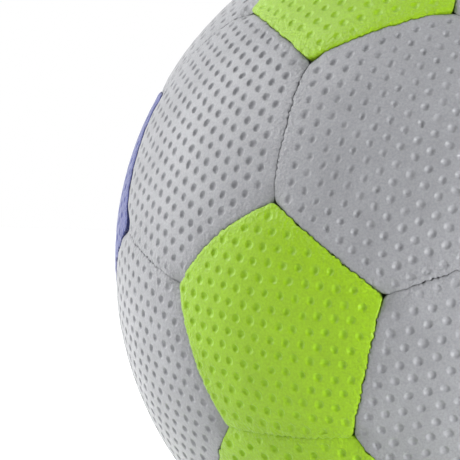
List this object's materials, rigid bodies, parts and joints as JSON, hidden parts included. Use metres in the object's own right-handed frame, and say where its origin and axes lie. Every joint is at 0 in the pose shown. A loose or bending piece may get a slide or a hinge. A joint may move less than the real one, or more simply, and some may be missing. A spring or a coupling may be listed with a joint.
{
  "type": "handball",
  "caption": "Stitched handball: crowned synthetic leather panels, foam-backed, sewn edge to edge round an air-filled rubber bladder with a pump valve.",
  "frame": {"origin": "the centre of the ball", "axes": "+Z out through the valve, -Y towards the front of the ball, +X to the right seen from the front"},
  "size_m": [0.1748, 0.1748, 0.175],
  "materials": {
    "grey_leather": "dimpled, satin",
    "green_leather": "dimpled, satin",
    "blue_leather": "dimpled, satin",
    "foam": "fine open cells",
    "lining": "plain weave",
    "thread": "waxed twist",
    "bladder": "matt",
    "valve_rubber": "matt",
    "valve_core_rubber": "matt"
  },
  "bodies": {
    "root": {"top_pentagon_2_oclock": "blue_leather", "top_pentagon_6_oclock": "green_leather", "top_pentagon_10_oclock": "blue_leather", "upper_pentagon_4_oclock": "blue_leather", "upper_pentagon_8_oclock": "blue_leather", "upper_pentagon_12_oclock": "blue_leather", "lower_pentagon_2_oclock": "green_leather", "lower_pentagon_6_oclock": "green_leather", "lower_pentagon_10_oclock": "green_leather", "bottom_pentagon_4_oclock": "green_leather", "bottom_pentagon_8_oclock": "green_leather", "bottom_pentagon_12_oclock": "blue_leather", "valve_hexagon": "grey_leather", "top_hexagon_4_oclock": "grey_leather", "top_hexagon_8_oclock": "grey_leather", "top_hexagon_12_oclock": "blue_leather", "upper_hexagon_1_oclock": "grey_leather", "upper_hexagon_3_oclock": "grey_leather", "upper_hexagon_5_oclock": "grey_leather", "upper_hexagon_7_oclock": "grey_leather", "upper_hexagon_9_oclock": "grey_leather", "upper_hexagon_11_oclock": "grey_leather", "lower_hexagon_1_oclock": "grey_leather", "lower_hexagon_3_oclock": "grey_leather", "lower_hexagon_5_oclock": "grey_leather", "lower_hexagon_7_oclock": "grey_leather", "lower_hexagon_9_oclock": "grey_leather", "lower_hexagon_11_oclock": "grey_leather", "bottom_hexagon_2_oclock": "grey_leather", "bottom_hexagon_6_oclock": "green_leather", "bottom_hexagon_10_oclock": "grey_leather", "base_hexagon": "grey_leather", "pentagon_foam": "foam", "hexagon_foam": "foam", "valve_hexagon_foam": "foam", "pentagon_lining": "lining", "hexagon_lining": "lining", "valve_hexagon_lining": "lining", "pentagon_seam_thread": "thread", "hexagon_seam_thread": "thread", "bladder": "bladder", "valve_stem": "valve_rubber", "valve_core": "valve_core_rubber"}
  },
  "joints": []
}
